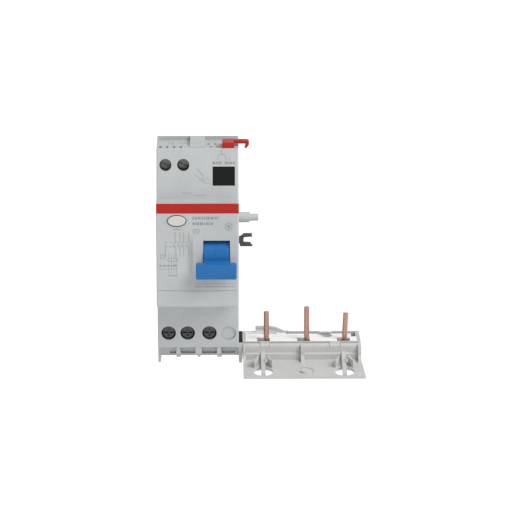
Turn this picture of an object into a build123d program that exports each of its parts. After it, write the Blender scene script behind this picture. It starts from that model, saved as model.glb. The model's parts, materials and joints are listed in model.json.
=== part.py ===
"""Two-module residual current add-on block with a three-pole terminal arm.

Millimetres. X runs to the right, the front faces -Y and Z is up. The origin is on the seating plane
of the 35 mm rail, at mid-width of the case and on the rail's centre line.
"""

import os
from math import cos, radians, sin

from build123d import *

# ---- driving dimensions ----
MODULE = 17.5                    # modular pitch of rail-mounted devices
HALF_WIDTH = MODULE              # the case is two modules wide
WALL = 1.5
COVER_X = HALF_WIDTH - 1.2       # inner face of the side cover

NOSE_Y = -61.0                   # front of the 45 mm nose
NOSE_TOP = 22.5
NOSE_BOTTOM = -22.5
ROOT_Y = -47.1                   # where the lower shoulder meets the nose
UPPER_ROOT_Y = -49.5             # where the upper shoulder meets it
TOP_Y, TOP_Z = -43.5, 43.0       # front edge of the top face
LIP_Y, LIP_Z = -43.2, -44.8      # lower edge of the lower shoulder
RIB_FRONT, RIB_BACK, RIB_Z = -24.0, -23.4, 44.7
BACK_Y = 5.8                     # back of the case, behind the rail plane
FLOOR_Z = -48.9                  # floor over the wire entries
FLOOR_FRONT = -38.0
CHANNEL_Y = -28.7                # the floor is deeper behind this plane
CHANNEL_Z = -52.0

RAIL_SLOT = 1.3                  # room for the rail's 1 mm flange
HOOK_Z = 15.5                    # lower tip of the fixed hook
SEAT_Z = 15.2                    # the seat stops short of the hook and of the clip
SEAT_STEP = 0.3
FOOT_Z = -52.6                   # lower end of the side foot

STRIPE_BOTTOM, STRIPE_DEPTH = 18.35, 0.7

TOGGLE_Y, TOGGLE_Z = -53.0, -1.0
DRUM_X = (2.7, 13.4)
DRUM_R = 8.8
WINDOW_X = (2.4, 13.7)
WINDOW_Z = (-9.5, 6.6)
BAR_X = (-0.7, 16.5)             # finger bar of the toggle
BAR_R = (12.6, 16.2)
BAR_ANGLES = (184.0, 209.0)      # counted from +Y towards +Z
SHAFT_R = 1.0
RUN = 0.05                       # radial running clearance

BUTTON_X, BUTTON_Z = -8.8, 15.15
BUTTON_RX, BUTTON_RZ = 3.8, 2.2
BUTTON_GAP = 0.4
BUTTON_PROUD = 0.35
BUTTON_FLANGE = 1.2
BUTTON_STEM_END = -46.5

TERMINAL_X = (-12.8, -4.6, 4.8, 13.1)
TERMINAL_Z = -38.0
TERMINAL_HOLE = 3.15
REMOTE_X = (-13.7, -6.1)
REMOTE_Z = 36.1
REMOTE_HOLE = 2.58

SQUARE_X = (6.4, 15.9)           # square plug in the upper shoulder
SQUARE_Z = (27.6, 35.5)

LEVER_Y, LEVER_Z = -34.0, 3.3    # pivot of the trip fork
FORK_Y, FORK_Z = -44.0, 3.3      # middle of the fork's spine

LINE_Y = (-25.8, -23.0, -20.2)   # planes of the three primary conductors
LINE_R = 1.2
LINE_GAP = (-27.3, -18.8)        # passage for them from the case into the arm
CORE_Y, CORE_Z = LINE_Y[1], -12.0

ARM_X = (19.2, 70.7)
ARM_Y = (-35.6, -17.0)           # front and back of the arm
ARM_TOP, ARM_BOTTOM = -44.2, -51.8
ARM_SEAT = -45.3                 # underside of the top plate
ARM_POCKET = -46.2               # floor of the pocket at the arm's back
ARM_CEILING = -47.2              # top of the hollow for the conductors
PLATE_X = (20.4, 69.3)
PLATE_Y = (-35.0, -18.2)
PIN_R = 1.15
PIN_FOOT_WIDTH = 2.4             # the pin is square up to its shoulder
SHOULDER_Z = -43.9
PIN_Y = -31.8
PIN_FOOT = -50.3
SLOT_X = (28.3, 45.8, 63.3)      # one slot for each pole, a module apart
SLOT_HALF = 2.75
SLOT_Y = (-34.6, -28.8)
PIN_X = (29.6, 47.2, 63.4)
PIN_TOP = (-31.7, -29.6, -32.4)
PIN_LEAN = (0.0, 0.0, 2.8)

HINGE_Y, HINGE_Z = -38.0, -45.7
HINGE_PIN_R = 0.7
KNUCKLE_R = 1.4
KNUCKLE_GAP = 0.15
KNUCKLES = ((26.9, 30.7), (57.0, 61.6))
FLAP_X = (19.4, 70.7)
FLAP_FLARE = 1.2                 # the plate is this much wider at its free edge
FLAP_SLOPE = 9.4                 # fall of the open flap, the slope of the shoulder it closes on
FLAP_LENGTH = 17.8
FLAP_THICK = 1.3
FLAP_FACE = -40.0                # front face of the flap's wall
FLAP_CORNER = -50.9
ACCESS_X = (28.0, 63.0)
ACCESS_R = 4.3
ACCESS_ALONG = FLAP_LENGTH - ACCESS_R - 0.6
FLAP_LEDGE = -48.0               # the wall is thicker below this ledge
LEDGE_STEP = 0.6

CORNER = (Align.MIN, Align.MIN, Align.MIN)
ON_FOOT = (Align.CENTER, Align.CENTER, Align.MIN)
TURNS = {"x": (0, 90, 0), "y": (90, 0, 0), "z": (0, 0, 0)}
CASE_FRONT = [(LIP_Y, LIP_Z), (ROOT_Y, NOSE_BOTTOM), (NOSE_Y, NOSE_BOTTOM), (NOSE_Y, NOSE_TOP),
              (UPPER_ROOT_Y, NOSE_TOP), (TOP_Y, TOP_Z)]
CASE_BACK = [(RIB_FRONT, TOP_Z), (RIB_FRONT, RIB_Z), (RIB_BACK, RIB_Z), (-10.0, 41.0), (BACK_Y, 38.0),
             (BACK_Y, HOOK_Z), (RAIL_SLOT, HOOK_Z), (RAIL_SLOT, 17.8), (-SEAT_STEP, 17.8),
             (-SEAT_STEP, SEAT_Z), (0, SEAT_Z), (0, -SEAT_Z), (-SEAT_STEP, -SEAT_Z), (-SEAT_STEP, -19.5),
             (BACK_Y, -19.5), (BACK_Y, -38.0), (-8.0, CHANNEL_Z), (CHANNEL_Y, CHANNEL_Z),
             (CHANNEL_Y, FLOOR_Z), (FLOOR_FRONT, FLOOR_Z), (FLOOR_FRONT, LIP_Z)]
CAVITY = [(-41.7, -42.9), (-45.6, -21.0), (NOSE_Y + WALL, -21.0), (NOSE_Y + WALL, 21.0), (-48.0, 21.0),
          (-42.0, 41.5), (-18.0, 41.5), (-9.5, 39.4), (4.3, 36.7), (4.3, 20.5), (-WALL, 20.5),
          (-WALL, -43.0), (-8.6, -50.5), (CHANNEL_Y + WALL, -50.5), (CHANNEL_Y + WALL, -47.4),
          (-36.5, -47.4), (-36.5, -42.9)]


# ---- helpers, all used inside a BuildPart block ----
def block(xs, ys, zs, mode=Mode.ADD):
    """Box between three pairs of limits."""
    with Locations((xs[0], ys[0], zs[0])):
        Box(xs[1] - xs[0], ys[1] - ys[0], zs[1] - zs[0], align=CORNER, mode=mode)


def rod(axis, centre, radius, span, mode=Mode.ADD):
    """Cylinder along an axis; centre holds the other two coordinates."""
    middle = (span[0] + span[1]) / 2
    place = {"x": (middle, *centre), "y": (centre[0], middle, centre[1]), "z": (*centre, middle)}[axis]
    with Locations(place):
        Cylinder(radius, span[1] - span[0], rotation=TURNS[axis], mode=mode)


def side_prism(points, xs, mode=Mode.ADD):
    """Outline in Y and Z, extruded between two X planes."""
    with BuildSketch(Plane.YZ.offset(xs[0])) as outline:
        with BuildLine():
            Polyline(*points, close=True)
        make_face()
    extrude(outline.sketch, amount=xs[1] - xs[0], mode=mode)


def front_prism(points, ys, mode=Mode.ADD):
    """Outline in X and Z, extruded between two Y planes."""
    with BuildSketch(Plane.XZ.offset(-ys[1])) as outline:
        with BuildLine():
            Polyline(*points, close=True)
        make_face()
    extrude(outline.sketch, amount=ys[1] - ys[0], mode=mode)


def oval(centre, radii, ys, mode=Mode.ADD):
    """Elliptic cylinder along Y."""
    with BuildSketch(Plane.XZ.offset(-ys[1])) as outline:
        with Locations(centre):
            Ellipse(*radii)
    extrude(outline.sketch, amount=ys[1] - ys[0], mode=mode)


def arc_bar(centre, radii, angles, xs, mode=Mode.ADD):
    """Sector of a ring about an X axis."""
    with BuildSketch(Plane.YZ.offset(xs[0])) as sector:
        with BuildLine():
            outer = CenterArc(centre, radii[1], angles[0], angles[1] - angles[0])
            inner = CenterArc(centre, radii[0], angles[0], angles[1] - angles[0])
            Line(outer @ 0, inner @ 0)
            Line(outer @ 1, inner @ 1)
        make_face()
    extrude(sector.sketch, amount=xs[1] - xs[0], mode=mode)


def coil(foot, direction, radius, wire, length, turns):
    """Helical spring from a foot point along a direction."""
    with BuildLine() as path:
        Helix(pitch=length / turns, height=length, radius=radius, center=foot, direction=direction)
    with BuildSketch(Plane(origin=path.line @ 0, z_dir=path.line % 0)) as section:
        Circle(wire)
    sweep(section.sketch, path=path.line, is_frenet=True)


def tube(points, bends, radius):
    """Round conductor along straight runs joined by tangent arcs."""
    with BuildLine() as path:
        FilletPolyline(*points, radius=bends)
    with BuildSketch(Plane(origin=path.line @ 0, z_dir=path.line % 0)) as section:
        Circle(radius)
    sweep(section.sketch, path=path.line)


def keep(piece, name):
    """Label a finished piece and write its STEP file."""
    piece.part.label = name
    export_step(piece.part, f"parts/{name}.step")


os.makedirs("parts", exist_ok=True)

# ---- case ----
RIVETS = ((-47.5, 20.3), (-50.0, -18.5), (-22.0, 39.2), (-6.0, 32.0), (-6.0, -38.0))
RIVET_R = 1.1
PARTITIONS = ((-9.5, -7.9), (-1.3, 1.5), (8.1, 9.7))
ENTRY_HALF = 2.9
ENTRY_Y = (-35.5, -29.9)
ENTRY_WINDOWS = ((-12.4, -9.7), (-7.5, -0.5), (1.0, 8.0), (10.3, 16.0))
ENTRY_WINDOW_Z = (-48.6, -47.4)
ENTRY_WINDOW_DEPTH = 1.0
STUBS = ((-9.6, -7.7), (-0.35, 0.85), (8.2, 10.1))
STUB_END = -50.3
SCOOP_X = (-13.0, -3.4, -1.9)
SCOOP = ((9.0, 0.03), (3.0, 1.1), (-6.0, 1.1), (-12.5, 0.03))
LABEL_EDGE = -15.0               # lower end of the label zone
TOP_SLITS = (-15.9, -13.0, -10.1, -7.2)
BOSS_X, BOSS_FRONT = (-3.3, 3.1), -41.5
TOP_PITS = ((4.6, -33.5), (7.5, -33.5), (5.5, -39.7), (8.4, -39.7))

with BuildPart() as housing_shell:
    side_prism(CASE_FRONT + CASE_BACK, (-HALF_WIDTH, COVER_X))
    front_edges = housing_shell.edges().filter_by(Axis.X).filter_by(lambda e: e.center().Y < TOP_Y + 1)
    fillet(front_edges.filter_by(lambda e: e.center().Y < NOSE_Y + 1 and e.center().Z < 0), 1.1)
    fillet(front_edges.filter_by(lambda e: e.center().Z > 40 or e.center().Z < -40), 0.7)
    left_face = housing_shell.faces().sort_by(Axis.X)[0]
    chamfer(left_face.edges().filter_by(lambda e: e.center().Y < TOP_Y + 1), 0.35)
    side_prism(CAVITY, (WALL - HALF_WIDTH, COVER_X), Mode.SUBTRACT)
    for partition in PARTITIONS:
        block(partition, (-43.0, CHANNEL_Y), (-47.6, -30.0))
    for rivet in RIVETS:
        rod("x", rivet, RIVET_R + 0.9, (-HALF_WIDTH + 1.0, COVER_X))
        rod("x", rivet, RIVET_R, (-HALF_WIDTH, COVER_X), Mode.SUBTRACT)
    # openings of the front
    block(WINDOW_X, (NOSE_Y, NOSE_Y + WALL), WINDOW_Z, Mode.SUBTRACT)
    oval((BUTTON_X, BUTTON_Z), (BUTTON_RX + BUTTON_GAP, BUTTON_RZ + BUTTON_GAP),
         (NOSE_Y, NOSE_Y + WALL), Mode.SUBTRACT)
    block((-HALF_WIDTH, COVER_X), (NOSE_Y, NOSE_Y + STRIPE_DEPTH), (STRIPE_BOTTOM, NOSE_TOP), Mode.SUBTRACT)
    for x in TERMINAL_X:
        rod("y", (x, TERMINAL_Z), TERMINAL_HOLE, (-47.0, -41.0), Mode.SUBTRACT)
    for x in REMOTE_X:
        rod("y", (x, REMOTE_Z), REMOTE_HOLE, (-47.0, -41.0), Mode.SUBTRACT)
    block(SQUARE_X, (NOSE_Y, -42.0), SQUARE_Z, Mode.SUBTRACT)
    # label field, scooped out beside the toggle's raised field and fading out at both ends
    for level, depth in SCOOP:
        with BuildSketch(Plane.XY.offset(level)):
            with BuildLine():
                Polyline((SCOOP_X[0], NOSE_Y - 1), (SCOOP_X[0], NOSE_Y), (SCOOP_X[1], NOSE_Y + depth),
                         (SCOOP_X[2], NOSE_Y), (SCOOP_X[2], NOSE_Y - 1), close=True)
            make_face()
    loft(ruled=True, mode=Mode.SUBTRACT)
    side_prism([(NOSE_Y - 0.1, LABEL_EDGE), (NOSE_Y + 0.3, LABEL_EDGE), (NOSE_Y, LABEL_EDGE - 0.7),
                (NOSE_Y - 0.1, LABEL_EDGE - 0.7)], (-HALF_WIDTH, COVER_X), Mode.SUBTRACT)
    # top face: marks, boss and the slider's guide slot
    with Locations(*[(x, -40.2, TOP_Z) for x in TOP_SLITS]):
        Box(1.0, 4.6, 2.2, mode=Mode.SUBTRACT)
    with Locations(*[(x, y, TOP_Z) for x, y in TOP_PITS]):
        Box(1.0, 3.0, 2.2, mode=Mode.SUBTRACT)
    for xs in ((-13.0, -10.4), (-7.6, -4.2)):
        block(xs, (-35.0, -30.0), (TOP_Z - 0.3, TOP_Z), Mode.SUBTRACT)
    side_prism([(BOSS_FRONT, TOP_Z), (BOSS_FRONT, TOP_Z + 0.2), (RIB_FRONT - 0.6, RIB_Z), (RIB_BACK, RIB_Z),
                (RIB_BACK, TOP_Z)], BOSS_X)
    block((10.7, 15.5), (-40.3, -37.7), (40.0, TOP_Z), Mode.SUBTRACT)
    # wire entries, their windows in the front wall, and the ribs and foot below the floor
    for x in TERMINAL_X:
        block((x - ENTRY_HALF, x + ENTRY_HALF), ENTRY_Y, (FLOOR_Z, -46.0), Mode.SUBTRACT)
    for window in ENTRY_WINDOWS:
        block(window, (FLOOR_FRONT, FLOOR_FRONT + ENTRY_WINDOW_DEPTH), ENTRY_WINDOW_Z, Mode.SUBTRACT)
    for stub in STUBS:
        block(stub, (FLOOR_FRONT, -30.0), (STUB_END, FLOOR_Z))
    block((-HALF_WIDTH, -16.3), (FLOOR_FRONT, -30.0), (FOOT_Z, FLOOR_Z))
    # channel of the rail clip, with the peg its spring stands on
    block((-6.0, 6.0), (0.6, BACK_Y), (-50.0, -19.0), Mode.SUBTRACT)
    block((-1.3, 1.3), (0.6, 3.4), (-35.6, -34.1))
keep(housing_shell, "housing_shell")

with BuildPart() as side_cover:
    side_prism(CASE_FRONT + CASE_BACK, (COVER_X, HALF_WIDTH))
    right_face = side_cover.faces().sort_by(Axis.X)[-1]
    chamfer(right_face.edges().filter_by(lambda e: e.center().Y < TOP_Y + 1), 0.5)
    block((COVER_X, HALF_WIDTH), (NOSE_Y, NOSE_Y + STRIPE_DEPTH), (STRIPE_BOTTOM, NOSE_TOP), Mode.SUBTRACT)
    block((COVER_X, HALF_WIDTH), (FORK_Y - 2.4, FORK_Y + 2.4), (FORK_Z - 5.6, FORK_Z + 2.6), Mode.SUBTRACT)
    rod("x", (-45.0, 13.3), 1.5, (COVER_X, HALF_WIDTH), Mode.SUBTRACT)
    block((COVER_X, HALF_WIDTH), LINE_GAP, (-50.5, -47.3), Mode.SUBTRACT)
    block((COVER_X, HALF_WIDTH), (-42.5, -39.5), (42.0, TOP_Z), Mode.SUBTRACT)
    for rivet in RIVETS:
        rod("x", rivet, RIVET_R, (COVER_X, HALF_WIDTH), Mode.SUBTRACT)
    rod("x", (LEVER_Y, LEVER_Z), SHAFT_R, (COVER_X, COVER_X + 0.8), Mode.SUBTRACT)
keep(side_cover, "side_cover")

with BuildPart() as case_rivets:
    for rivet in RIVETS:
        rod("x", rivet, RIVET_R - 0.02, (-HALF_WIDTH, HALF_WIDTH))
keep(case_rivets, "case_rivets")

with BuildPart() as front_stripe:
    block((-HALF_WIDTH, HALF_WIDTH), (NOSE_Y - 0.1, NOSE_Y + STRIPE_DEPTH), (STRIPE_BOTTOM, NOSE_TOP))
    chamfer(front_stripe.faces().sort_by(Axis.Y)[0].edges(), 0.2)
keep(front_stripe, "front_stripe")

DISC_RECESS = 0.7

with BuildPart() as blanking_disc:
    rod("y", (TERMINAL_X[3], TERMINAL_Z), TERMINAL_HOLE - 0.03, (-45.5, -42.9))
    rod("y", (TERMINAL_X[3], TERMINAL_Z), TERMINAL_HOLE - 0.8, (-42.9, -39.0))
    side_prism([(ROOT_Y + DISC_RECESS, NOSE_BOTTOM), (LIP_Y + DISC_RECESS, LIP_Z), (NOSE_Y, LIP_Z),
                (NOSE_Y, NOSE_BOTTOM)], (0, HALF_WIDTH), Mode.SUBTRACT)
keep(blanking_disc, "blanking_disc")

with BuildPart() as square_plug:
    side_prism([(-47.6, SQUARE_Z[0]), (-45.3, SQUARE_Z[1]), (-41.0, SQUARE_Z[1]), (-41.0, SQUARE_Z[0])],
               (SQUARE_X[0] + 0.03, SQUARE_X[1] - 0.03))
keep(square_plug, "square_plug")

with BuildPart() as coupling_peg:
    rod("x", (-45.0, 13.3), 1.48, (COVER_X, HALF_WIDTH))
    rod("x", (-45.0, 13.3), 2.25, (HALF_WIDTH, 22.2))
    rod("x", (-45.0, 13.3), 1.55, (22.2, 26.0))
    chamfer(coupling_peg.faces().sort_by(Axis.X)[-1].edges(), 0.3)
keep(coupling_peg, "coupling_peg")

# ---- mechanism: frame, toggle, fork ----
CHEEK_X = ((-1.0, 0.2), (13.5, 14.6))
WEB_Y = (-42.6, -41.4)

with BuildPart() as mechanism_frame:
    for cheek in CHEEK_X:
        block(cheek, (NOSE_Y + WALL, WEB_Y[1]), (-8.5, 8.5))
    block((CHEEK_X[0][0], CHEEK_X[1][1]), WEB_Y, (-8.5, 8.5))
    block(CHEEK_X[0], (-50.0, WEB_Y[1]), (8.5, 18.0))
    block((-13.5, CHEEK_X[0][0]), (-50.0, -48.8), (11.5, 18.0))
    block((-13.5, CHEEK_X[0][0]), WEB_Y, (10.5, 18.0))
    rod("x", (TOGGLE_Y, TOGGLE_Z), SHAFT_R, (CHEEK_X[0][0], CHEEK_X[1][1]), Mode.SUBTRACT)
    rod("y", (BUTTON_X, BUTTON_Z), 1.05, (-50.0, -48.8), Mode.SUBTRACT)
keep(mechanism_frame, "mechanism_frame")

with BuildPart() as toggle_shaft:
    rod("x", (TOGGLE_Y, TOGGLE_Z), SHAFT_R, (CHEEK_X[0][0], CHEEK_X[1][1]))
keep(toggle_shaft, "toggle_shaft")

with BuildPart() as toggle:
    rod("x", (TOGGLE_Y, TOGGLE_Z), DRUM_R, DRUM_X)
    arc_bar((TOGGLE_Y, TOGGLE_Z), (DRUM_R - 1.0, BAR_R[1] - 0.5), (BAR_ANGLES[0] + 1, BAR_ANGLES[1] - 6), DRUM_X)
    arc_bar((TOGGLE_Y, TOGGLE_Z), BAR_R, BAR_ANGLES, BAR_X)
    bar_ends = toggle.faces().filter_by(Axis.X).sort_by(Axis.X)
    chamfer(bar_ends[0].edges() + bar_ends[-1].edges(), 0.4)
    rod("x", (TOGGLE_Y, TOGGLE_Z), SHAFT_R + RUN, DRUM_X, Mode.SUBTRACT)
keep(toggle, "toggle")

with BuildPart() as toggle_spring:
    coil((0.5, TOGGLE_Y, TOGGLE_Z), (1, 0, 0), 1.6, 0.22, 1.6, 3)
keep(toggle_spring, "toggle_spring")

with BuildPart() as fork_shaft:
    rod("x", (LEVER_Y, LEVER_Z), SHAFT_R - 0.02, (8.0, COVER_X + 0.8))
keep(fork_shaft, "fork_shaft")

FORK_START = HALF_WIDTH + 0.5     # clear of the cover

with BuildPart() as trip_fork:
    rod("x", (LEVER_Y, LEVER_Z), 2.6, (14.8, 16.0))
    block((14.8, 16.0), (FORK_Y - 1.4, LEVER_Y), (FORK_Z - 1.6, FORK_Z + 1.6))
    block((16.0, FORK_START), (FORK_Y - 1.4, FORK_Y + 1.4), (FORK_Z - 1.5, FORK_Z + 1.2))
    front_prism([(FORK_START, 4.5), (19.8, 5.9), (23.2, 5.9), (23.2, 4.8), (20.0, 4.6), (19.6, 4.2),
                 (19.6, 2.1), (22.4, 2.0), (23.5, 0.6), (FORK_START, 0.6)],
                (FORK_Y - 1.4, FORK_Y + 1.4))
    rod("x", (LEVER_Y, LEVER_Z), SHAFT_R + RUN, (14.8, 16.0), Mode.SUBTRACT)
keep(trip_fork, "trip_fork")

# ---- test button ----
with BuildPart() as test_button:
    oval((BUTTON_X, BUTTON_Z), (BUTTON_RX, BUTTON_RZ), (NOSE_Y - BUTTON_PROUD, -59.2))
    fillet(test_button.faces().sort_by(Axis.Y)[0].edges(), 0.3)
    oval((BUTTON_X, BUTTON_Z), (BUTTON_RX + 1.0, BUTTON_RZ + 1.0), (-59.2, -59.2 + BUTTON_FLANGE))
    rod("y", (BUTTON_X, BUTTON_Z), SHAFT_R, (-59.2 + BUTTON_FLANGE, BUTTON_STEM_END))
keep(test_button, "test_button")

with BuildPart() as test_spring:
    coil((BUTTON_X, -57.7, BUTTON_Z), (0, 1, 0), 1.9, 0.25, 7.3, 6)
keep(test_spring, "test_spring")

with BuildPart() as test_contact:
    block((-12.0, -6.0), (-44.2, -43.9), (13.6, 16.7))
    block((-12.0, -11.0), (-43.9, WEB_Y[0]), (13.6, 16.7))
keep(test_contact, "test_contact")

# ---- terminals: a screw and its rising cage share an axis along Y ----
HEAD_Y = (-42.6, -40.1)
SCREW_TIP = -33.4
CAGE_X = 2.9
CAGE_Z = (TERMINAL_Z - 3.5, TERMINAL_Z + 3.5)
CAGE_Y = (-36.6, -34.8, -27.6, -26.0)

for number, x in enumerate(TERMINAL_X[:3], start=1):
    with BuildPart() as main_screw:
        rod("y", (x, TERMINAL_Z), 2.8, HEAD_Y)
        chamfer(main_screw.faces().sort_by(Axis.Y)[0].edges(), 0.3)
        rod("y", (x, TERMINAL_Z), 2.25, (HEAD_Y[1], SCREW_TIP))
        with Locations((x, HEAD_Y[0], TERMINAL_Z)):
            Box(4.4, 2.4, 0.9, mode=Mode.SUBTRACT)
            Box(0.9, 2.0, 3.4, mode=Mode.SUBTRACT)
    keep(main_screw, f"main_screw_{number}")

    with BuildPart() as clamp_cage:
        block((x - CAGE_X, x + CAGE_X), (CAGE_Y[0], CAGE_Y[3]), CAGE_Z)
        block((x - CAGE_X + 0.6, x + CAGE_X - 0.6), (CAGE_Y[1], CAGE_Y[2]), CAGE_Z, Mode.SUBTRACT)
        rod("y", (x, TERMINAL_Z), 2.25 + RUN, (CAGE_Y[0], CAGE_Y[1]), Mode.SUBTRACT)
    keep(clamp_cage, f"clamp_cage_{number}")

with BuildPart() as terminal_tongues:
    for x in TERMINAL_X[:3]:
        block((x - 1.9, x + 1.9), (-33.2, -31.8), (-41.3, -29.8))
keep(terminal_tongues, "terminal_tongues")

for number, x in enumerate(REMOTE_X, start=1):
    with BuildPart() as remote_screw:
        rod("y", (x, REMOTE_Z), 2.1, (-42.4, -40.6))
        rod("y", (x, REMOTE_Z), 1.4, (-40.6, -34.0))
        with Locations((x, -42.4, REMOTE_Z)):
            Box(4.4, 1.6, 0.7, rotation=(0, 25, 0), mode=Mode.SUBTRACT)
    keep(remote_screw, f"remote_screw_{number}")

with BuildPart() as remote_clamps:
    for x in REMOTE_X:
        block((x - 2.2, x + 2.2), (-40.2, -32.0), (REMOTE_Z - 3.2, REMOTE_Z + 3.2))
        rod("y", (x, REMOTE_Z), 1.4 + RUN, (-40.2, -33.8), Mode.SUBTRACT)
        rod("z", (x, -35.4), 1.5, (REMOTE_Z - 0.4, REMOTE_Z + 3.2), Mode.SUBTRACT)
keep(remote_clamps, "remote_clamps")

# ---- summation transformer and the conductors through it ----
with BuildPart() as toroid_core:
    rod("x", (CORE_Y, CORE_Z), 11.0, (-4.0, 4.0))
    rod("x", (CORE_Y, CORE_Z), 6.6, (-4.0, 4.0), Mode.SUBTRACT)
keep(toroid_core, "toroid_core")

with BuildPart() as toroid_winding:
    rod("x", (CORE_Y, CORE_Z), 12.0, (-5.0, 5.0))
    rod("x", (CORE_Y, CORE_Z), 5.6, (-5.0, 5.0), Mode.SUBTRACT)
    rod("x", (CORE_Y, CORE_Z), 11.0 + RUN, (-4.0 - RUN, 4.0 + RUN), Mode.SUBTRACT)
    with BuildSketch(Plane.YZ.offset(-4.0 - RUN)) as inner_band:
        with Locations((CORE_Y, CORE_Z)):
            Circle(6.6 - RUN)
            Circle(5.6, mode=Mode.SUBTRACT)
    extrude(amount=8.0 + 2 * RUN)
keep(toroid_winding, "toroid_winding")

RISER_X, DROP_X = -8.5, 9.6
BUS_Z = -31.5
ARM_LINE_Z = -48.9

for number in range(3):
    plane_y = LINE_Y[number]
    route = [(TERMINAL_X[number], -31.8, BUS_Z), (TERMINAL_X[number], plane_y, BUS_Z),
             (RISER_X, plane_y, BUS_Z), (RISER_X, plane_y, CORE_Z), (DROP_X, plane_y, CORE_Z),
             (DROP_X, plane_y, ARM_LINE_Z), (PIN_X[number], plane_y, ARM_LINE_Z),
             (PIN_X[number], PIN_Y + PIN_FOOT_WIDTH / 2 + RUN, ARM_LINE_Z)]
    with BuildPart() as primary_conductor:
        tube(route, 1.8, LINE_R)
    keep(primary_conductor, f"primary_conductor_{number + 1}")

# ---- electronics ----
with BuildPart() as trip_relay:
    block((-9.5, 8.0), (-36.0, -20.0), (6.0, 18.0))
    chamfer(trip_relay.edges().filter_by(Axis.Y), 0.6)
    rod("y", (4.0, 10.0), 1.0 + RUN, (-36.0, -29.0), Mode.SUBTRACT)
keep(trip_relay, "trip_relay")

with BuildPart() as relay_plunger:
    rod("y", (4.0, 10.0), 1.0, (-37.6, -30.0))
    rod("y", (4.0, 10.0), 1.8, (-38.4, -37.6))
keep(relay_plunger, "relay_plunger")

with BuildPart() as circuit_board:
    block((-15.2, -14.0), (-40.0, -8.0), (-2.0, 26.0))
keep(circuit_board, "circuit_board")

with BuildPart() as board_components:
    for y, z in ((-36.0, 22.0), (-29.0, 22.0), (-22.0, 22.0)):
        rod("x", (y, z), 2.4, (-14.0, -9.0))
    for z in (1.0, 5.0, 9.0):
        block((-14.0, -12.6), (-17.0, -11.0), (z, z + 2.4))
keep(board_components, "board_components")

with BuildPart() as test_resistor:
    rod("y", (-12.6, 5.5), 1.2, (-36.0, -28.0))
    rod("y", (-12.6, 5.5), 0.35, (-38.5, -25.5))
keep(test_resistor, "test_resistor")

# ---- locking slider on the top face ----
SLIDER_X = (10.5, 15.6)
SLIDER_Z = (TOP_Z + 0.1, 45.4)

with BuildPart() as lock_slider:
    block(SLIDER_X, (-43.2, -33.8), SLIDER_Z)
    chamfer(lock_slider.faces().sort_by(Axis.Z)[-1].edges(), 0.3)
    block((13.2, 15.2), (-40.1, -37.9), (41.2, SLIDER_Z[0]))
    block((12.9, 15.4), (-41.0, -37.0), (40.2, 41.2))
    front_prism([(SLIDER_X[1], 44.0), (SLIDER_X[1], SLIDER_Z[1]), (21.3, SLIDER_Z[1]), (22.0, 44.8),
                 (22.0, 43.5), (20.9, 42.0), (20.1, 42.2), (20.6, 43.4), (20.3, 44.0)], (-38.2, -34.2))
keep(lock_slider, "lock_slider")

# ---- rail clip ----
with BuildPart() as din_clip:
    side_prism([(0.9, -44.0), (0.9, -19.6), (RAIL_SLOT + 0.2, -19.6), (RAIL_SLOT + 0.2, -16.4), (3.0, -15.6),
                (5.4, -18.0), (5.4, -42.0), (3.8, -44.0)], (-5.7, 5.7))
    block((-2.0, 2.0), (0.9, 5.4), (-36.2, -23.6), Mode.SUBTRACT)
    block((-2.5, 2.5), (0.9, 5.4), (-42.5, -40.5), Mode.SUBTRACT)
keep(din_clip, "din_clip")

with BuildPart() as clip_spring:
    coil((0, 3.0, -33.8), (0, 0, 1), 1.3, 0.25, 9.9, 7)
keep(clip_spring, "clip_spring")

# ---- terminal arm ----
LATCH_X = (25.0, 32.6, 37.0)     # the latch web is level up to the second, then falls to the third
LATCH_Z = -42.5
POCKETS = (((38.5, 69.0), (-22.0, PLATE_Y[1])), ((66.8, 69.0), (-27.0, -21.9)), ((21.2, 34.2), (-22.0, -19.6)))
EYE = (56.1, -25.4)              # round hole in the top plate
EYE_R = 2.5
BRACKET_TOP, GUARD_TOP = -44.4, -43.9

with BuildPart() as arm_bracket:
    block((HALF_WIDTH, ARM_X[0]), (-39.5, PLATE_Y[1]), (-47.2, BRACKET_TOP))
    block((HALF_WIDTH, ARM_X[0] - 0.2), (-39.5, -28.0), (FOOT_Z, -47.2))
keep(arm_bracket, "arm_bracket")

with BuildPart() as conductor_guard:
    block((HALF_WIDTH, ARM_X[0]), (ARM_Y[0] - 0.4, PLATE_Y[1]), (BRACKET_TOP, GUARD_TOP))
keep(conductor_guard, "conductor_guard")

with BuildPart() as arm_housing:
    block(ARM_X, ARM_Y, (ARM_BOTTOM, ARM_TOP))
    chamfer(arm_housing.faces().sort_by(Axis.X)[-1].edges().filter_by(Axis.Z), 0.6)
    block((ARM_X[0] + WALL, ARM_X[1] - WALL), (ARM_Y[0] + WALL, ARM_Y[1] - 1.2), (ARM_BOTTOM, ARM_CEILING),
          Mode.SUBTRACT)
    block(PLATE_X, PLATE_Y, (ARM_SEAT, ARM_TOP), Mode.SUBTRACT)
    for xs, ys in POCKETS:
        block(xs, ys, (ARM_POCKET, ARM_TOP), Mode.SUBTRACT)
    rod("z", EYE, EYE_R, (ARM_POCKET, ARM_TOP), Mode.SUBTRACT)
    block((ARM_X[0], ARM_X[0] + WALL), LINE_GAP, (-50.5, -47.3), Mode.SUBTRACT)
    for x in SLOT_X:
        block((x - SLOT_HALF, x + SLOT_HALF), SLOT_Y, (ARM_CEILING - 0.1, ARM_SEAT), Mode.SUBTRACT)
    for knuckle in KNUCKLES:
        block(knuckle, (HINGE_Y, ARM_Y[0]), (HINGE_Z - KNUCKLE_R, HINGE_Z + KNUCKLE_R))
        rod("x", (HINGE_Y, HINGE_Z), KNUCKLE_R, knuckle)
        rod("x", (HINGE_Y, HINGE_Z), HINGE_PIN_R, knuckle, Mode.SUBTRACT)
keep(arm_housing, "arm_housing")

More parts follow.
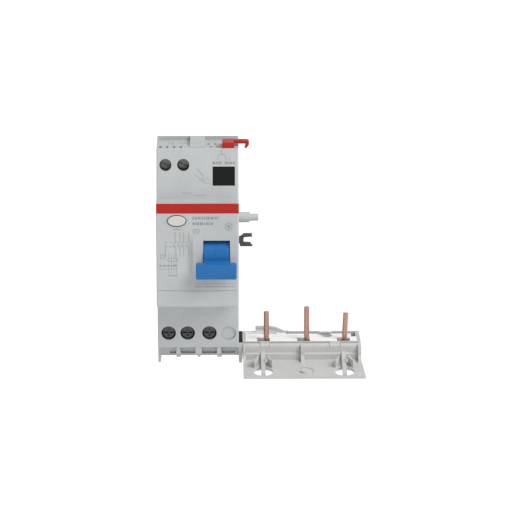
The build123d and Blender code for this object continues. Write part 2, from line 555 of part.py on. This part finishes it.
with BuildPart() as arm_top_plate:
    block((PLATE_X[0] + 0.1, PLATE_X[1] - 0.1), (PLATE_Y[0] + 0.1, PLATE_Y[1] - 0.1), (ARM_SEAT, ARM_TOP))
    for x in SLOT_X:
        block((x - SLOT_HALF, x + SLOT_HALF), SLOT_Y, (ARM_SEAT, ARM_TOP), Mode.SUBTRACT)
    for xs, ys in POCKETS:
        block(xs, ys, (ARM_SEAT, ARM_TOP), Mode.SUBTRACT)
    rod("z", EYE, EYE_R, (ARM_SEAT, ARM_TOP), Mode.SUBTRACT)
    arc_bar((EYE[1], ARM_TOP - 1.6), (3.0, 3.8), (20.0, 75.0), (EYE[0] - 2.9, EYE[0] + 2.3))
    front_prism([(LATCH_X[0], ARM_TOP), (LATCH_X[0], LATCH_Z), (LATCH_X[1], LATCH_Z), (LATCH_X[2], ARM_TOP)],
                (-19.5, -18.3))
keep(arm_top_plate, "arm_top_plate")

with BuildPart() as arm_latch:
    front_prism([(LATCH_X[0], LATCH_Z), (LATCH_X[0], LATCH_Z + 1.0), (31.5, LATCH_Z + 1.0),
                 (34.4, LATCH_Z + 0.4), (37.8, ARM_TOP + 0.5), (39.6, ARM_TOP + 0.5), (39.6, ARM_TOP),
                 (LATCH_X[2], ARM_TOP), (LATCH_X[1], LATCH_Z)], (-19.9, -18.0))
keep(arm_latch, "arm_latch")

with BuildPart() as arm_bottom_cover:
    block((ARM_X[0] + WALL + 0.05, ARM_X[1] - WALL - 0.05), (ARM_Y[0] + WALL + 0.05, ARM_Y[1] - 1.25),
          (ARM_BOTTOM, ARM_BOTTOM + 1.2))
keep(arm_bottom_cover, "arm_bottom_cover")

for number in range(3):
    with BuildPart() as copper_pin:
        with Locations(Location((PIN_X[number], PIN_Y, PIN_FOOT), (0, PIN_LEAN[number], 0))):
            Box(PIN_FOOT_WIDTH, PIN_FOOT_WIDTH, SHOULDER_Z - PIN_FOOT, align=ON_FOOT)
            with Locations((0, 0, SHOULDER_Z - PIN_FOOT)):
                Cylinder(PIN_R, PIN_TOP[number] - SHOULDER_Z, align=ON_FOOT)
    keep(copper_pin, f"copper_pin_{number + 1}")

# ---- terminal flap ----
FALL = sin(radians(FLAP_SLOPE))
ADVANCE = cos(radians(FLAP_SLOPE))


FRAME_PROUD = 1.7
FLAP_FRAMES = ((19.4, 20.6), (44.4, 46.0), (69.3, 70.7))
GUIDE_GAP, GUIDE_START = 1.9, 4.0
GUIDE_R, GUIDE_TURN, GUIDE_HEIGHT = 8.0, 40.0, 3.4


def on_flap(along, above):
    """Point in Y and Z on the open flap's plate, from the inner corner."""
    return (FLAP_FACE - along * ADVANCE - above * FALL, FLAP_CORNER - along * FALL + above * ADVANCE)


flap_plane = Plane(origin=(0, *on_flap(0, 0)), x_dir=(1, 0, 0), z_dir=(0, -FALL, ADVANCE))

with BuildPart() as terminal_flap:
    side_prism([(HINGE_Y - 0.3, HINGE_Z), (FLAP_FACE, HINGE_Z), (FLAP_FACE, FLAP_LEDGE),
                (FLAP_FACE - LEDGE_STEP, FLAP_LEDGE - LEDGE_STEP), (FLAP_FACE - LEDGE_STEP, FLAP_CORNER),
                on_flap(LEDGE_STEP, 0), on_flap(LEDGE_STEP, -FLAP_THICK), (HINGE_Y - 0.3, FLAP_CORNER - 1.4)],
               FLAP_X)
    with BuildSketch(flap_plane) as plate:
        with BuildLine():
            Polyline((FLAP_X[0], 0), (FLAP_X[0], -FLAP_LENGTH), (FLAP_X[1] + FLAP_FLARE, -FLAP_LENGTH),
                     (FLAP_X[1], 0), close=True)
        make_face()
    extrude(plate.sketch, amount=-FLAP_THICK)
    rod("x", (HINGE_Y, HINGE_Z), KNUCKLE_R, FLAP_X)
    for xs in FLAP_FRAMES:
        side_prism([(HINGE_Y, HINGE_Z + KNUCKLE_R), (FLAP_FACE - FRAME_PROUD, HINGE_Z + 0.6),
                    (FLAP_FACE - FRAME_PROUD, FLAP_CORNER + 2.0), on_flap(FRAME_PROUD + 3.0, 0),
                    on_flap(0, -FLAP_THICK), (HINGE_Y, FLAP_CORNER)], xs)
    for x in ACCESS_X:
        with Locations(flap_plane.location * Location((x, -ACCESS_ALONG, 0))):
            Cylinder(ACCESS_R, 6.0, mode=Mode.SUBTRACT)
        side_prism([(FLAP_FACE, FLAP_LEDGE + 0.5), on_flap(LEDGE_STEP + 0.6, 2.6), on_flap(4.5, 1.4),
                    on_flap(FLAP_LENGTH - 0.6, 1.0), on_flap(FLAP_LENGTH - 0.6, -FLAP_THICK),
                    on_flap(0, -FLAP_THICK)], (x - 0.9, x + 0.9))
        for side in (-1, 1):
            with BuildSketch(flap_plane) as guide:
                with BuildLine():
                    middle = (x + side * (GUIDE_GAP + GUIDE_R), -GUIDE_START)
                    start = 180 if side > 0 else 0
                    outer = CenterArc(middle, GUIDE_R, start, side * GUIDE_TURN)
                    inner = CenterArc(middle, GUIDE_R - 0.8, start, side * GUIDE_TURN)
                    Line(outer @ 0, inner @ 0)
                    Line(outer @ 1, inner @ 1)
                make_face()
            extrude(guide.sketch, amount=GUIDE_HEIGHT)
    with Locations(flap_plane.location * Location((45.5, -ACCESS_ALONG, 0))):
        Cylinder(ACCESS_R, 0.5, mode=Mode.SUBTRACT)
        Cylinder(ACCESS_R - 2.9, 0.8)
    # room for the arm's knuckles, open behind and above for the swing
    sweep_r = KNUCKLE_R + KNUCKLE_GAP
    for knuckle in KNUCKLES:
        gap = (knuckle[0] - KNUCKLE_GAP, knuckle[1] + KNUCKLE_GAP)
        rod("x", (HINGE_Y, HINGE_Z), sweep_r, gap, Mode.SUBTRACT)
        block(gap, (HINGE_Y, ARM_Y[0]), (HINGE_Z - sweep_r, ARM_TOP + 1), Mode.SUBTRACT)
        block(gap, (HINGE_Y - sweep_r, ARM_Y[0]), (HINGE_Z, ARM_TOP + 1), Mode.SUBTRACT)
    rod("x", (HINGE_Y, HINGE_Z), HINGE_PIN_R + RUN, FLAP_X, Mode.SUBTRACT)
keep(terminal_flap, "terminal_flap")

with BuildPart() as flap_hinge_pin:
    rod("x", (HINGE_Y, HINGE_Z), HINGE_PIN_R - 0.01, (FLAP_X[0] + 0.3, FLAP_X[1] - 0.3))
keep(flap_hinge_pin, "flap_hinge_pin")
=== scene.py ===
"""Looks of the two-module residual current add-on block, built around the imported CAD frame.

Metres, in the part's own frame: X to the right, front towards -Y, Z up. MM turns millimetres into
metres. The CAD pieces keep their shape; this adds their finishes and the printed marks on the front.
"""

import json
import math
import random

import bpy
from mathutils import Euler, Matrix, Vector
from mathutils.bvhtree import BVHTree


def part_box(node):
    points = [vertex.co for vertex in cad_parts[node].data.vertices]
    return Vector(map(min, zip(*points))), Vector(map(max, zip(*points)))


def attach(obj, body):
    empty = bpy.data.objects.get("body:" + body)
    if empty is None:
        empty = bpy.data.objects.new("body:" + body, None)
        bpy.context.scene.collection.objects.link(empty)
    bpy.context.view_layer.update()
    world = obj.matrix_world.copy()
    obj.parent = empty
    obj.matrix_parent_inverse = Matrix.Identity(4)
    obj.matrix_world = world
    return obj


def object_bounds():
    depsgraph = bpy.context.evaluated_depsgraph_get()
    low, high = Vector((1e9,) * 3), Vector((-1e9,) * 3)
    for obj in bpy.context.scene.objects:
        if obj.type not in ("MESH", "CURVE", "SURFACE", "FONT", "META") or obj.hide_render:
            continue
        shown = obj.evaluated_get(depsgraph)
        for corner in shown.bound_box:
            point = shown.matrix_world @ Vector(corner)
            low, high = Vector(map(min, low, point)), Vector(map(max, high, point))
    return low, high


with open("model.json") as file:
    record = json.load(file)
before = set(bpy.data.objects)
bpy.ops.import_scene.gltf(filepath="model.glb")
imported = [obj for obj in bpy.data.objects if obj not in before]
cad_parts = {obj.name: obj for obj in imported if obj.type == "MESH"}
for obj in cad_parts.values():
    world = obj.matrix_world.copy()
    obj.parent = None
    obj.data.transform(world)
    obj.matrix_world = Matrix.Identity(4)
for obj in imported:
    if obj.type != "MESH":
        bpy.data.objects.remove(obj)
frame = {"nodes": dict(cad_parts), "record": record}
cad_low, cad_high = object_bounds()
nodes = frame["nodes"]
MM = 0.001


# ---------------------------------------------------------------- materials
class Shader:
    """A Principled material whose nodes are added by name."""

    def __init__(self, name, roughness, metallic=0.0):
        self.material = bpy.data.materials.new(name)
        self.material.use_nodes = True
        self.tree = self.material.node_tree
        self.principled = self.tree.nodes["Principled BSDF"]
        self.principled.inputs["Metallic"].default_value = metallic
        self.principled.inputs["Roughness"].default_value = roughness
        self.place = self.add("ShaderNodeTexCoord").outputs["Object"]

    def add(self, kind, **values):
        node = self.tree.nodes.new(kind)
        for key, value in values.items():
            setattr(node, key, value)
        return node

    def link(self, output, target):
        self.tree.links.new(output, target)

    def noise(self, size, detail=2.0, stretch=None):
        """Noise whose features are about size millimetres wide."""
        node = self.add("ShaderNodeTexNoise")
        node.inputs["Scale"].default_value = 1.0 / (size * MM)
        node.inputs["Detail"].default_value = detail
        if stretch:
            mapping = self.add("ShaderNodeMapping")
            mapping.inputs["Scale"].default_value = stretch
            self.link(self.place, mapping.inputs["Vector"])
            self.link(mapping.outputs["Vector"], node.inputs["Vector"])
        else:
            self.link(self.place, node.inputs["Vector"])
        return node.outputs["Fac"]

    def remap(self, value, low, high, from_low=0.35, from_high=0.65):
        node = self.add("ShaderNodeMapRange")
        node.inputs["From Min"].default_value = from_low
        node.inputs["From Max"].default_value = from_high
        node.inputs["To Min"].default_value = low
        node.inputs["To Max"].default_value = high
        self.link(value, node.inputs["Value"])
        return node.outputs["Result"]

    def blend_colours(self, factor, first, second):
        node = self.add("ShaderNodeMix", data_type="RGBA")
        self.link(factor, node.inputs["Factor"])
        for socket, colour in ((node.inputs["A"], first), (node.inputs["B"], second)):
            if isinstance(colour, tuple):
                socket.default_value = (*colour, 1.0)
            else:
                self.link(colour, socket)
        return node.outputs["Result"]

    def worn_and_highlit_edges(self, radius):
        """1 along convex and concave edges within radius millimetres, 0 on flat faces; it marks where
        wear and a painted highlight lighten the colour.
        """
        bevel = self.add("ShaderNodeBevel", samples=4)
        bevel.inputs["Radius"].default_value = radius * MM
        facing = self.add("ShaderNodeVectorMath", operation="DOT_PRODUCT")
        normal = self.add("ShaderNodeNewGeometry").outputs["Normal"]
        self.link(bevel.outputs["Normal"], facing.inputs[0])
        self.link(normal, facing.inputs[1])
        edge = self.remap(facing.outputs["Value"], 1.0, 0.0, 0.86, 0.99)
        return edge, bevel.outputs["Normal"]

    def bump(self, height, depth, normal=None):
        """Bump depth millimetres deep, over a given normal or the face's own."""
        node = self.add("ShaderNodeBump")
        node.inputs["Strength"].default_value = 1.0
        node.inputs["Distance"].default_value = depth * MM
        self.link(height, node.inputs["Height"])
        if normal:
            self.link(normal, node.inputs["Normal"])
        return node.outputs["Normal"]

    def finish(self, colour, normal, roughness=None):
        self.link(colour, self.principled.inputs["Base Color"])
        self.link(normal, self.principled.inputs["Normal"])
        if roughness:
            self.link(roughness, self.principled.inputs["Roughness"])
        return self.material


def scaled(colour, factor):
    return tuple(min(1.0, c * factor) for c in colour)


def moulded(name, colour, gloss, grain=0.12, grain_depth=0.012, edge=0.10, specular=0.5):
    """Injection-moulded plastic: eroded grain, slow shade changes, lighter edges that are partly
    handling wear and partly a painted highlight.
    """
    shader = Shader(name, gloss)
    shader.principled.inputs["Specular IOR Level"].default_value = specular
    shade = shader.blend_colours(
        shader.remap(shader.noise(9.0, 3.0), 0.0, 1.0), scaled(colour, 0.965), scaled(colour, 1.03))
    speck = shader.blend_colours(
        shader.remap(shader.noise(0.22, 1.0), 0.0, 0.10), shade, scaled(colour, 0.72))
    # Edges are painted lighter in patches: partly handling wear, partly a painted highlight along the
    # edges.
    edge_wear_and_highlight, rounded = shader.worn_and_highlit_edges(edge)
    patchy_wear_and_highlight = shader.add("ShaderNodeMath", operation="MULTIPLY")
    shader.link(edge_wear_and_highlight, patchy_wear_and_highlight.inputs[0])
    shader.link(shader.remap(shader.noise(1.6, 2.0), 0.10, 0.40), patchy_wear_and_highlight.inputs[1])
    worn_and_highlit = shader.blend_colours(patchy_wear_and_highlight.outputs[0], speck, scaled(colour, 1.18))
    normal = shader.bump(shader.noise(grain, 1.5), grain_depth, rounded)
    rough = shader.remap(shader.noise(3.5, 2.0), gloss - 0.05, gloss + 0.06)
    return shader.finish(worn_and_highlit, normal, rough)


def metal(name, colour, roughness, stretch=(1.0, 1.0, 12.0), scratch=0.10, tarnish=0.8):
    """Drawn or turned metal: fine lines along one direction and a patchy tarnish."""
    shader = Shader(name, roughness, metallic=1.0)
    lines = shader.noise(scratch, 2.0, stretch)
    patches = shader.noise(1.8, 3.0)
    base = shader.blend_colours(shader.remap(patches, 0.0, 1.0), scaled(colour, tarnish), colour)
    lined = shader.blend_colours(shader.remap(lines, 0.0, 0.35), base, scaled(colour, 0.6))
    # Edges are painted brighter: partly worn bare metal, partly a painted highlight.
    edge_wear_and_highlight, rounded = shader.worn_and_highlit_edges(0.08)
    highlit_and_worn = shader.blend_colours(edge_wear_and_highlight, lined, scaled(colour, 1.35))
    normal = shader.bump(lines, 0.004, rounded)
    rough = shader.remap(patches, roughness - 0.08, roughness + 0.10)
    return shader.finish(highlit_and_worn, normal, rough)


def printed(name, colour):
    """Pad-printed ink, slightly uneven over the grain."""
    shader = Shader(name, 0.55)
    shade = shader.blend_colours(
        shader.remap(shader.noise(0.3, 2.0), 0.0, 1.0), scaled(colour, 0.85), scaled(colour, 1.2))
    return shader.finish(shade, shader.bump(shader.noise(0.15, 1.0), 0.004))


def board_mask():
    """Green solder mask with faint copper tracks under it."""
    shader = Shader("board_green", 0.32)
    tracks = shader.add("ShaderNodeTexBrick")
    tracks.inputs["Scale"].default_value = 160.0
    tracks.inputs["Mortar Size"].default_value = 0.03
    shader.link(shader.place, tracks.inputs["Vector"])
    tracks.inputs["Color1"].default_value = (0.010, 0.075, 0.030, 1.0)
    tracks.inputs["Color2"].default_value = (0.012, 0.090, 0.036, 1.0)
    tracks.inputs["Mortar"].default_value = (0.05, 0.16, 0.05, 1.0)
    return shader.finish(tracks.outputs["Color"], shader.bump(tracks.outputs["Fac"], 0.02))


CASE = (0.405, 0.423, 0.424)
ARM = (0.455, 0.455, 0.448)
RED = (0.37, 0.010, 0.005)
BLUE = (0.012, 0.130, 0.36)

# One finish for each material slot of the record.
materials = {
    "case_grey": moulded("case_grey", CASE, 0.46),
    "arm_grey": moulded("arm_grey", ARM, 0.42),
    "light_carrier": moulded("light_carrier", (0.80, 0.80, 0.79), 0.42),
    "red_plastic": moulded("red_plastic", RED, 0.40, grain_depth=0.006, specular=0.25),
    "blue_plastic": moulded("blue_plastic", BLUE, 0.40, grain_depth=0.006, specular=0.25),
    "button_white": moulded("button_white", (0.54, 0.52, 0.475), 0.34, grain_depth=0.004),
    "black_plastic": moulded("black_plastic", (0.006, 0.006, 0.006), 0.60, edge=0.06, specular=0.15),
    "dark_plastic": moulded("dark_plastic", (0.040, 0.041, 0.041), 0.45, edge=0.08),
    "frame_plastic": moulded("frame_plastic", (0.055, 0.055, 0.058), 0.50),
    "component_dark": moulded("component_dark", (0.020, 0.020, 0.028), 0.35),
    "wire_sleeve": moulded("wire_sleeve", (0.045, 0.045, 0.052), 0.40, grain=0.5),
    "plated_steel": metal("plated_steel", (0.17, 0.175, 0.175), 0.40, (1.0, 10.0, 1.0)),
    "spring_steel": metal("spring_steel", (0.45, 0.45, 0.44), 0.28),
    "bare_copper": metal("bare_copper", (0.52, 0.31, 0.25), 0.26, (14.0, 14.0, 1.0)),
    "core_metal": metal("core_metal", (0.16, 0.16, 0.17), 0.55, (20.0, 1.0, 1.0), 0.2),
    "enamelled_copper": metal("enamelled_copper", (0.42, 0.12, 0.035), 0.25, (14.0, 1.0, 1.0), 0.3),
    "brass_clamp": metal("brass_clamp", (0.55, 0.42, 0.17), 0.32),
    "board_green": board_mask(),
}

# The terminal screws of the lower shoulder sit deep; their steel is painted darker than the other
# plated parts, as painted shade from the deep holes.
main_screw_steel = metal("main_screw_steel", (0.10, 0.105, 0.11), 0.42, (1.0, 10.0, 1.0))

slot_of = {row["node"]: row["material_slot"] for row in frame["record"]["subparts"]}
for name, node in nodes.items():
    finish = main_screw_steel if name.startswith("main_screw") else materials[slot_of[name]]
    node.data.materials.clear()
    node.data.materials.append(finish)


# ---------------------------------------------------------------- printed marks
INK_GREY = printed("ink_grey", (0.235, 0.245, 0.250))
INK_VIOLET = printed("ink_violet", (0.30, 0.27, 0.36))
INK_BLUE = printed("ink_blue", (0.012, 0.075, 0.235))
INK_LIFT = 0.025 * MM            # the ink stands this far off the surface
STROKE_STEP = 0.8                # longest quad of a printed line, in millimetres
BAR_WIDTHS = (0.5, 1.5)          # narrowest and widest bar of a row of print, in millimetres
RAY_START = -0.2                 # rays towards the front's surfaces start at this Y, in metres


def surface_of(name):
    node = nodes[name]
    vertices = [vertex.co for vertex in node.data.vertices]
    return BVHTree.FromPolygons(vertices, [polygon.vertices for polygon in node.data.polygons])


def front_point(tree, x, z):
    """Point of a surface seen from the front at X and Z, in millimetres, lifted towards the front."""
    hit = tree.ray_cast(Vector((x * MM, RAY_START, z * MM)), Vector((0, 1, 0)))[0]
    return hit + Vector((0, -INK_LIFT, 0))


def stroke(points, width):
    """Quads along a line of (x, z) points in millimetres, split so that they follow the surface."""
    quads = []
    for (x0, z0), (x1, z1) in zip(points, points[1:]):
        length = math.hypot(x1 - x0, z1 - z0)
        steps = max(1, math.ceil(length / STROKE_STEP))
        side_x = -(z1 - z0) / length * width / 2
        side_z = (x1 - x0) / length * width / 2
        for k in range(steps):
            a, b = k / steps, (k + 1) / steps
            ax, az = x0 + (x1 - x0) * a, z0 + (z1 - z0) * a
            bx, bz = x0 + (x1 - x0) * b, z0 + (z1 - z0) * b
            quads.append([(ax - side_x, az - side_z), (bx - side_x, bz - side_z),
                          (bx + side_x, bz + side_z), (ax + side_x, az + side_z)])
    return quads


def ring(x, z, rx, rz, width, steps=28):
    angles = [math.radians(360.0 * k / steps) for k in range(steps + 1)]
    return stroke([(x + rx * math.cos(a), z + rz * math.sin(a)) for a in angles], width)


def print_on(name, tree_name, body, quads, ink):
    """One piece from printed quads, laid on the front of a CAD node."""
    tree = surface_of(tree_name)
    vertices, faces = [], []
    for quad in quads:
        faces.append(tuple(range(len(vertices), len(vertices) + 4)))
        vertices.extend(front_point(tree, x, z) for x, z in quad)
    mesh = bpy.data.meshes.new(name)
    mesh.from_pydata(vertices, [], faces)
    piece = bpy.data.objects.new(name, mesh)
    bpy.context.scene.collection.objects.link(piece)
    mesh.materials.append(ink)
    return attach(piece, body)


def dash_row(x0, x1, z, height, seed, gap=0.45):
    """A row of short bars of uneven width, standing for print too small to read."""
    draw = random.Random(seed)
    quads, x = [], x0
    while x < x1:
        width = draw.uniform(*BAR_WIDTHS)
        quads += stroke([(x, z), (min(x + width, x1), z)], height * draw.uniform(0.7, 1.0))
        x += width + gap
    return quads


# Marks are placed in millimetres, by offsets from the CAD pieces that they stand beside.
button_low, button_high = (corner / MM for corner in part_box("test_button"))
button_x = (button_low.x + button_high.x) / 2
button_z = (button_low.z + button_high.z) / 2
square_low, square_high = (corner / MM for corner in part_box("square_plug"))
stripe_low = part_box("front_stripe")[0] / MM
toggle_low, toggle_high = (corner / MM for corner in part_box("toggle"))
field_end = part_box("side_cover")[0].x / MM - 0.4      # the shell's front ends at the side cover

THIN, BOLD = 0.18, 0.30
DIAGRAM_TOP = button_z - 5.6
CONTACTS_Z, RING_Z, DIAGRAM_FOOT = button_z - 12.0, button_z - 15.6, button_z - 19.4
UPPER_LINES = [button_x + offset for offset in (-0.6, 1.4, 2.9, 5.0)]
LOWER_LINES = [button_x + offset for offset in (-3.4, -2.3, -1.2, -0.2)]


def rectangle(x0, z0, x1, z1, width):
    return stroke([(x0, z0), (x1, z0), (x1, z1), (x0, z1), (x0, z0)], width)


def wiring_diagram():
    """Lines with their contacts, the transformer ring round them, and the test branch."""
    quads = []
    for x in UPPER_LINES:
        quads += stroke([(x, DIAGRAM_TOP), (x, CONTACTS_Z + 2.2)], THIN)
        quads += stroke([(x - 0.9, CONTACTS_Z + 1.9), (x, CONTACTS_Z)], THIN)
        quads += stroke([(x, CONTACTS_Z), (x, RING_Z)], THIN)
        quads += ring(x, DIAGRAM_TOP + 0.3, 0.22, 0.22, THIN, steps=8)
    for x in LOWER_LINES:
        quads += stroke([(x, RING_Z + 1.6), (x, DIAGRAM_FOOT - 4.2)], THIN)
    branch, under = LOWER_LINES[0] - 1.4, DIAGRAM_FOOT - 1.4
    for z in (DIAGRAM_TOP - 3.6, CONTACTS_Z + 1.0):
        quads += dash_row(branch, UPPER_LINES[-1] - 0.4, z, 0.2, 37, 0.5)
    quads += stroke([(branch, DIAGRAM_TOP - 3.6), (branch, RING_Z)], THIN)
    quads += rectangle(branch - 2.2, RING_Z - 0.8, branch - 0.4, RING_Z + 0.9, THIN)
    quads += ring(sum(LOWER_LINES) / len(LOWER_LINES), RING_Z - 1.2, 2.4, 0.7, THIN)
    quads += dash_row(branch - 2.6, LOWER_LINES[-1] + 0.4, DIAGRAM_FOOT, 0.8, 11)
    quads += stroke([(branch - 2.6, under), (LOWER_LINES[-1] + 0.6, under)], THIN)
    quads += dash_row(LOWER_LINES[0] - 0.2, LOWER_LINES[-1] + 0.6, DIAGRAM_FOOT - 4.4, 0.5, 41, 0.25)
    return quads


def climate_mark(x, z, radius):
    """Six barbed arms round a dot: the usual sign for use in the cold."""
    quads = ring(x, z, 0.2, 0.2, BOLD, steps=8)
    for k in range(6):
        angle = math.radians(30 + 60 * k)
        tip = (x + radius * math.cos(angle), z + radius * math.sin(angle))
        quads += stroke([(x, z), tip], THIN)
        for turn in (-0.45, 0.45):
            barb = (x + radius * math.cos(angle + turn), z + radius * math.sin(angle + turn))
            quads += stroke([(x + 0.62 * (tip[0] - x), z + 0.62 * (tip[1] - z)), barb], THIN)
    return quads


def wave_mark(x, z):
    """A sine wave in a box: responds to alternating fault currents."""
    wave = [(x - 0.9 + 0.15 * k, z + 0.45 * math.sin(k * math.pi / 6)) for k in range(13)]
    return stroke(wave, THIN) + rectangle(x - 1.3, z - 0.8, x + 1.3, z + 0.8, THIN)


print_x = toggle_low.x - 1.4             # left end of the two rows under the stripe
front_marks = wiring_diagram()
front_marks += dash_row(print_x, print_x + 11.0, stripe_low.z - 2.0, 1.5, 3, 0.35)
front_marks += dash_row(print_x, print_x + 8.8, stripe_low.z - 4.4, 1.3, 5, 0.35)
front_marks += wave_mark(print_x + 1.6, stripe_low.z - 7.6)
front_marks += climate_mark(toggle_high.x - 3.3, stripe_low.z - 5.7, 1.9)
front_marks += dash_row(button_x - 1.4, button_x + 1.7, button_z - 3.6, 0.45, 7, 0.25)
print_on("front_marks", "housing_shell", "root", front_marks, INK_GREY)

low_marks = dash_row(print_x + 1.0, field_end, toggle_low.z - 3.6, 0.55, 13, 0.3)
low_marks += dash_row(print_x + 1.4, field_end - 0.4, toggle_low.z - 2.3, 0.35, 17, 0.3)
print_on("small_print", "housing_shell", "root", low_marks, INK_VIOLET)


def shoulder_marks():
    """Contact pair above the square plug, a key and its way in beside it, and two faint level marks."""
    middle = (square_low.x + square_high.x) / 2
    top = square_high.z
    quads = stroke([(middle - 0.9, top + 7.0), (middle - 0.9, top + 4.6)], THIN)
    quads += stroke([(middle - 2.6, top + 4.2), (middle - 0.9, top + 5.4), (middle + 0.9, top + 4.2)],
                    THIN)
    for x in (middle - 2.6, middle + 0.9, middle + 2.4):
        quads += stroke([(x, top + 4.2), (x, top + 2.8)], THIN)
    quads += dash_row(square_low.x, middle - 0.6, top + 1.5, 1.2, 19, 0.3)
    quads += dash_row(middle + 0.5, square_high.x, top + 1.5, 1.2, 23, 0.3)
    key_x, key_z = square_low.x - 3.4, square_low.z + 2.5
    quads += stroke([(key_x - 3.2, key_z + 4.4), (key_x - 0.4, key_z + 1.4)], BOLD)
    quads += stroke([(key_x - 4.4, key_z + 2.4), (key_x - 1.2, key_z - 0.6)], THIN)
    quads += stroke([(key_x - 0.6, key_z + 1.0), (key_x + 0.5, key_z - 0.9), (key_x - 0.3, key_z - 1.4),
                     (key_x - 1.3, key_z + 0.5), (key_x - 0.6, key_z + 1.0)], THIN)
    quads += stroke([(key_x + 0.6, key_z + 0.9), (key_x + 2.0, key_z - 0.2)], THIN)
    quads += stroke([(key_x + 0.8, key_z - 1.4), (key_x + 2.2, key_z - 1.4)], THIN)
    quads += dash_row(-6.6, -2.4, square_low.z - 2.9, 0.3, 29, 0.2)
    quads += dash_row(-1.0, 3.2, square_low.z - 3.9, 0.3, 31, 0.2)
    return quads


print_on("shoulder_marks", "housing_shell", "root", shoulder_marks(), INK_GREY)

drum_x = (toggle_low.x + toggle_high.x) / 2
MARK_Z, MARK_WIDTH = 3.2, 0.34
off_mark = ring(drum_x, MARK_Z, 0.95, 1.25, MARK_WIDTH)
off_mark += stroke([(drum_x + 2.4, MARK_Z - 1.2), (drum_x + 2.4, MARK_Z + 1.2)], MARK_WIDTH)
print_on("off_mark", "toggle", "toggle", off_mark, INK_BLUE)


# ---------------------------------------------------------------- stage, light and camera
FLOOR_HALF, FLOOR_DROP = 6.0, 0.16    # metres; so far below the object that no shadow shows
floor_z = cad_low.z - FLOOR_DROP
floor_mesh = bpy.data.meshes.new("floor")
corners = [(-FLOOR_HALF, -FLOOR_HALF, floor_z), (FLOOR_HALF, -FLOOR_HALF, floor_z),
           (FLOOR_HALF, FLOOR_HALF, floor_z), (-FLOOR_HALF, FLOOR_HALF, floor_z)]
floor_mesh.from_pydata(corners, [], [(0, 1, 2, 3)])
floor = bpy.data.objects.new("floor", floor_mesh)
bpy.context.scene.collection.objects.link(floor)
pale = Shader("pale_floor", 0.9)
floor_mesh.materials.append(pale.finish(
    pale.blend_colours(pale.noise(400.0), (0.93, 0.93, 0.93), (0.95, 0.95, 0.95)),
    pale.bump(pale.noise(2.0), 0.01)))

WORLD_STRENGTH = 0.64
KEY_STRENGTH, KEY_SPREAD = 2.8, 40.0
world = bpy.data.worlds.new("studio")
world.use_nodes = True
world.node_tree.nodes["Background"].inputs["Color"].default_value = (1.0, 1.0, 1.0, 1.0)
world.node_tree.nodes["Background"].inputs["Strength"].default_value = WORLD_STRENGTH
bpy.context.scene.world = world
bpy.context.scene.view_settings.view_transform = "Standard"


def soft_sun(name, towards, strength, spread):
    """Sun shining from the direction towards, with a wide disc for soft shadows."""
    lamp = bpy.data.lights.new(name, "SUN")
    lamp.energy = strength
    lamp.angle = math.radians(spread)
    light = bpy.data.objects.new(name, lamp)
    bpy.context.scene.collection.objects.link(light)
    light.rotation_euler = Vector(towards).to_track_quat("Z", "Y").to_euler()


soft_sun("key", (0.60, -0.40, 0.69), KEY_STRENGTH, KEY_SPREAD)

CAMERA_AT = Vector((9.7, -1225.1, 267.3)) * MM
CAMERA_DOWN, CAMERA_RIGHT = 12.915, 0.718    # degrees the view is tipped down and turned right
CAMERA_LENS, CAMERA_SENSOR = 199.15, 36.0

camera_data = bpy.data.cameras.new("camera")
camera = bpy.data.objects.new("camera", camera_data)
bpy.context.scene.collection.objects.link(camera)
camera_data.sensor_width = CAMERA_SENSOR
camera_data.lens = CAMERA_LENS
camera_data.clip_start, camera_data.clip_end = 0.1, 20.0
camera.location = CAMERA_AT
camera.rotation_euler = Euler(
    (math.radians(90.0 - CAMERA_DOWN), 0.0, math.radians(-CAMERA_RIGHT)), "XYZ")
bpy.context.scene.camera = camera
